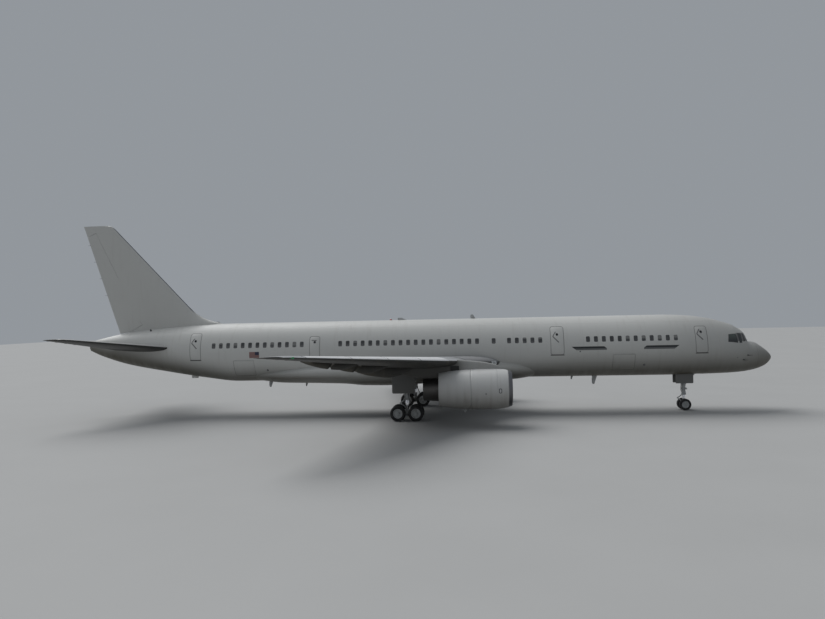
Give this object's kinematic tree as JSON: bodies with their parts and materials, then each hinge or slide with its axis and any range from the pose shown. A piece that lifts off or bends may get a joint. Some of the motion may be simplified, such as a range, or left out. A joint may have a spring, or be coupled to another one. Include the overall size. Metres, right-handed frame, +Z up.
{
  "type": "narrow-body airliner, 1:2 scale model",
  "caption": "Long, slender twin-engined single-aisle airliner standing on its wheels, with swept low wings, under-wing engines and a tall swept fin; its wheels, fans and control surfaces turn.",
  "frame": {"origin": "on the ground below the middle of the box round the aircraft, midway between nose and tail", "axes": "+X forward to the nose, +Y to the left wing tip, +Z up"},
  "size_m": [23.66, 19.02, 6.78],
  "materials": {
    "white_paint": "satin",
    "grey_paint": "satin",
    "bare_metal": "satin",
    "hot_metal": "satin",
    "titanium": "satin",
    "tyre": "matte",
    "cockpit_glass": "gloss"
  },
  "bodies": {
    "airframe": {"nose_radome": "white_paint", "fuselage_forward": "white_paint", "fuselage_centre": "white_paint", "fuselage_aft": "white_paint", "tail_cone": "white_paint", "belly_fairing": "white_paint", "fin": "white_paint", "door_front_left": "white_paint", "door_front_right": "white_paint", "door_second_left": "white_paint", "door_second_right": "white_paint", "door_third_left": "white_paint", "door_third_right": "white_paint", "door_rear_left": "white_paint", "door_rear_right": "white_paint", "cockpit_glazing": "cockpit_glass", "wing_left": "grey_paint", "wing_right": "grey_paint", "tailplane_left": "white_paint", "tailplane_right": "white_paint", "pylon_left": "white_paint", "pylon_right": "white_paint", "inlet_cowl_left": "bare_metal", "inlet_cowl_right": "bare_metal", "fan_cowl_left": "white_paint", "fan_cowl_right": "white_paint", "reverser_left": "white_paint", "reverser_right": "white_paint", "nozzle_left": "hot_metal", "nozzle_right": "hot_metal", "engine_core_left": "titanium", "engine_core_right": "titanium", "nose_gear_leg": "grey_paint", "main_gear_leg_left": "grey_paint", "main_gear_leg_right": "grey_paint", "bogie_beam_left": "grey_paint", "bogie_beam_right": "grey_paint", "nose_gear_door_left": "white_paint", "nose_gear_door_right": "white_paint", "main_gear_door_left": "white_paint", "main_gear_door_right": "white_paint"},
    "rudder": {"rudder": "white_paint"},
    "elevator_left": {"elevator_left": "white_paint"},
    "aileron_left": {"aileron_left": "white_paint"},
    "flap_outer_left": {"flap_outer_left": "white_paint"},
    "flap_inner_left": {"flap_inner_left": "white_paint"},
    "fan_left": {"fan_left": "titanium"},
    "elevator_right": {"elevator_right": "white_paint"},
    "aileron_right": {"aileron_right": "white_paint"},
    "flap_outer_right": {"flap_outer_right": "white_paint"},
    "flap_inner_right": {"flap_inner_right": "white_paint"},
    "fan_right": {"fan_right": "titanium"},
    "cargo_door_front": {"cargo_door_front": "white_paint"},
    "cargo_door_rear": {"cargo_door_rear": "white_paint"},
    "nose_steering": {"nose_gear_fork": "grey_paint"},
    "nose_wheels": {"nose_wheels": "tyre"},
    "main_wheels_front_left": {"main_wheels_front_left": "tyre"},
    "main_wheels_rear_left": {"main_wheels_rear_left": "tyre"},
    "main_wheels_front_right": {"main_wheels_front_right": "tyre"},
    "main_wheels_rear_right": {"main_wheels_rear_right": "tyre"}
  },
  "joints": [
    {"name": "aileron_left_hinge", "type": "hinge", "parent": "airframe", "child": "aileron_left", "pos_m": [-2.2075, 8.35, 2.37906], "axis": [0.268, -0.9595, -0.0874], "range_deg": [-20, 20]},
    {"name": "aileron_right_hinge", "type": "hinge", "parent": "airframe", "child": "aileron_right", "pos_m": [-2.2075, -8.35, 2.37906], "axis": [-0.268, -0.9595, 0.0874], "range_deg": [-20, 20]},
    {"name": "flap_outer_left_hinge", "type": "hinge", "parent": "airframe", "child": "flap_outer_left", "pos_m": [-1.3975, 5.6125, 2.07182], "axis": [0.2804, -0.9545, -0.1018], "range_deg": [0, 30]},
    {"name": "flap_outer_right_hinge", "type": "hinge", "parent": "airframe", "child": "flap_outer_right", "pos_m": [-1.3975, -5.6125, 2.07182], "axis": [-0.2804, -0.9545, 0.1018], "range_deg": [0, 30]},
    {"name": "flap_inner_left_hinge", "type": "hinge", "parent": "airframe", "child": "flap_inner_left", "pos_m": [-0.6875, 2.3, 1.68726], "axis": [0.0421, -0.9904, -0.1319], "range_deg": [0, 30]},
    {"name": "flap_inner_right_hinge", "type": "hinge", "parent": "airframe", "child": "flap_inner_right", "pos_m": [-0.6875, -2.3, 1.68726], "axis": [-0.0421, -0.9904, 0.1319], "range_deg": [0, 30]},
    {"name": "elevator_left_hinge", "type": "hinge", "parent": "airframe", "child": "elevator_left", "pos_m": [-10.375, 2.0625, 2.58588], "axis": [0.2826, -0.9502, -0.1312], "range_deg": [-28, 20]},
    {"name": "elevator_right_hinge", "type": "hinge", "parent": "airframe", "child": "elevator_right", "pos_m": [-10.375, -2.0625, 2.58588], "axis": [-0.2826, -0.9502, 0.1312], "range_deg": [-28, 20]},
    {"name": "rudder_hinge", "type": "hinge", "parent": "airframe", "child": "rudder", "pos_m": [-10.5375, 0, 4.8675], "axis": [-0.4531, 0, 0.8914], "range_deg": [-26, 26]},
    {"name": "cargo_door_front_hinge", "type": "hinge", "parent": "airframe", "child": "cargo_door_front", "pos_m": [6.88, -0.9055, 1.935], "axis": [-1, 0, 0], "range_deg": [0, 105]},
    {"name": "cargo_door_rear_hinge", "type": "hinge", "parent": "airframe", "child": "cargo_door_rear", "pos_m": [-5.77, -0.9055, 1.935], "axis": [-1, 0, 0], "range_deg": [0, 105]},
    {"name": "nose_steer", "type": "hinge", "parent": "airframe", "child": "nose_steering", "pos_m": [8.995, 0, 0.5], "axis": [0, 0, 1], "range_deg": [-65, 65]},
    {"name": "nose_wheels_spin", "type": "hinge", "parent": "nose_steering", "child": "nose_wheels", "pos_m": [8.995, 0, 0.19011], "axis": [0, 1, 0], "continuous": true},
    {"name": "main_wheels_front_left_spin", "type": "hinge", "parent": "airframe", "child": "main_wheels_front_left", "pos_m": [0.13575, 1.83, 0.24763], "axis": [0, 1, 0], "continuous": true},
    {"name": "main_wheels_rear_left_spin", "type": "hinge", "parent": "airframe", "child": "main_wheels_rear_left", "pos_m": [-0.43575, 1.83, 0.24763], "axis": [0, 1, 0], "continuous": true},
    {"name": "fan_left_spin", "type": "hinge", "parent": "airframe", "child": "fan_left", "pos_m": [2.395, 3.24, 1.12], "axis": [1, 0, 0], "continuous": true},
    {"name": "main_wheels_front_right_spin", "type": "hinge", "parent": "airframe", "child": "main_wheels_front_right", "pos_m": [0.13575, -1.83, 0.24763], "axis": [0, 1, 0], "continuous": true},
    {"name": "main_wheels_rear_right_spin", "type": "hinge", "parent": "airframe", "child": "main_wheels_rear_right", "pos_m": [-0.43575, -1.83, 0.24763], "axis": [0, 1, 0], "continuous": true},
    {"name": "fan_right_spin", "type": "hinge", "parent": "airframe", "child": "fan_right", "pos_m": [2.395, -3.24, 1.12], "axis": [1, 0, 0], "continuous": true}
  ]
}
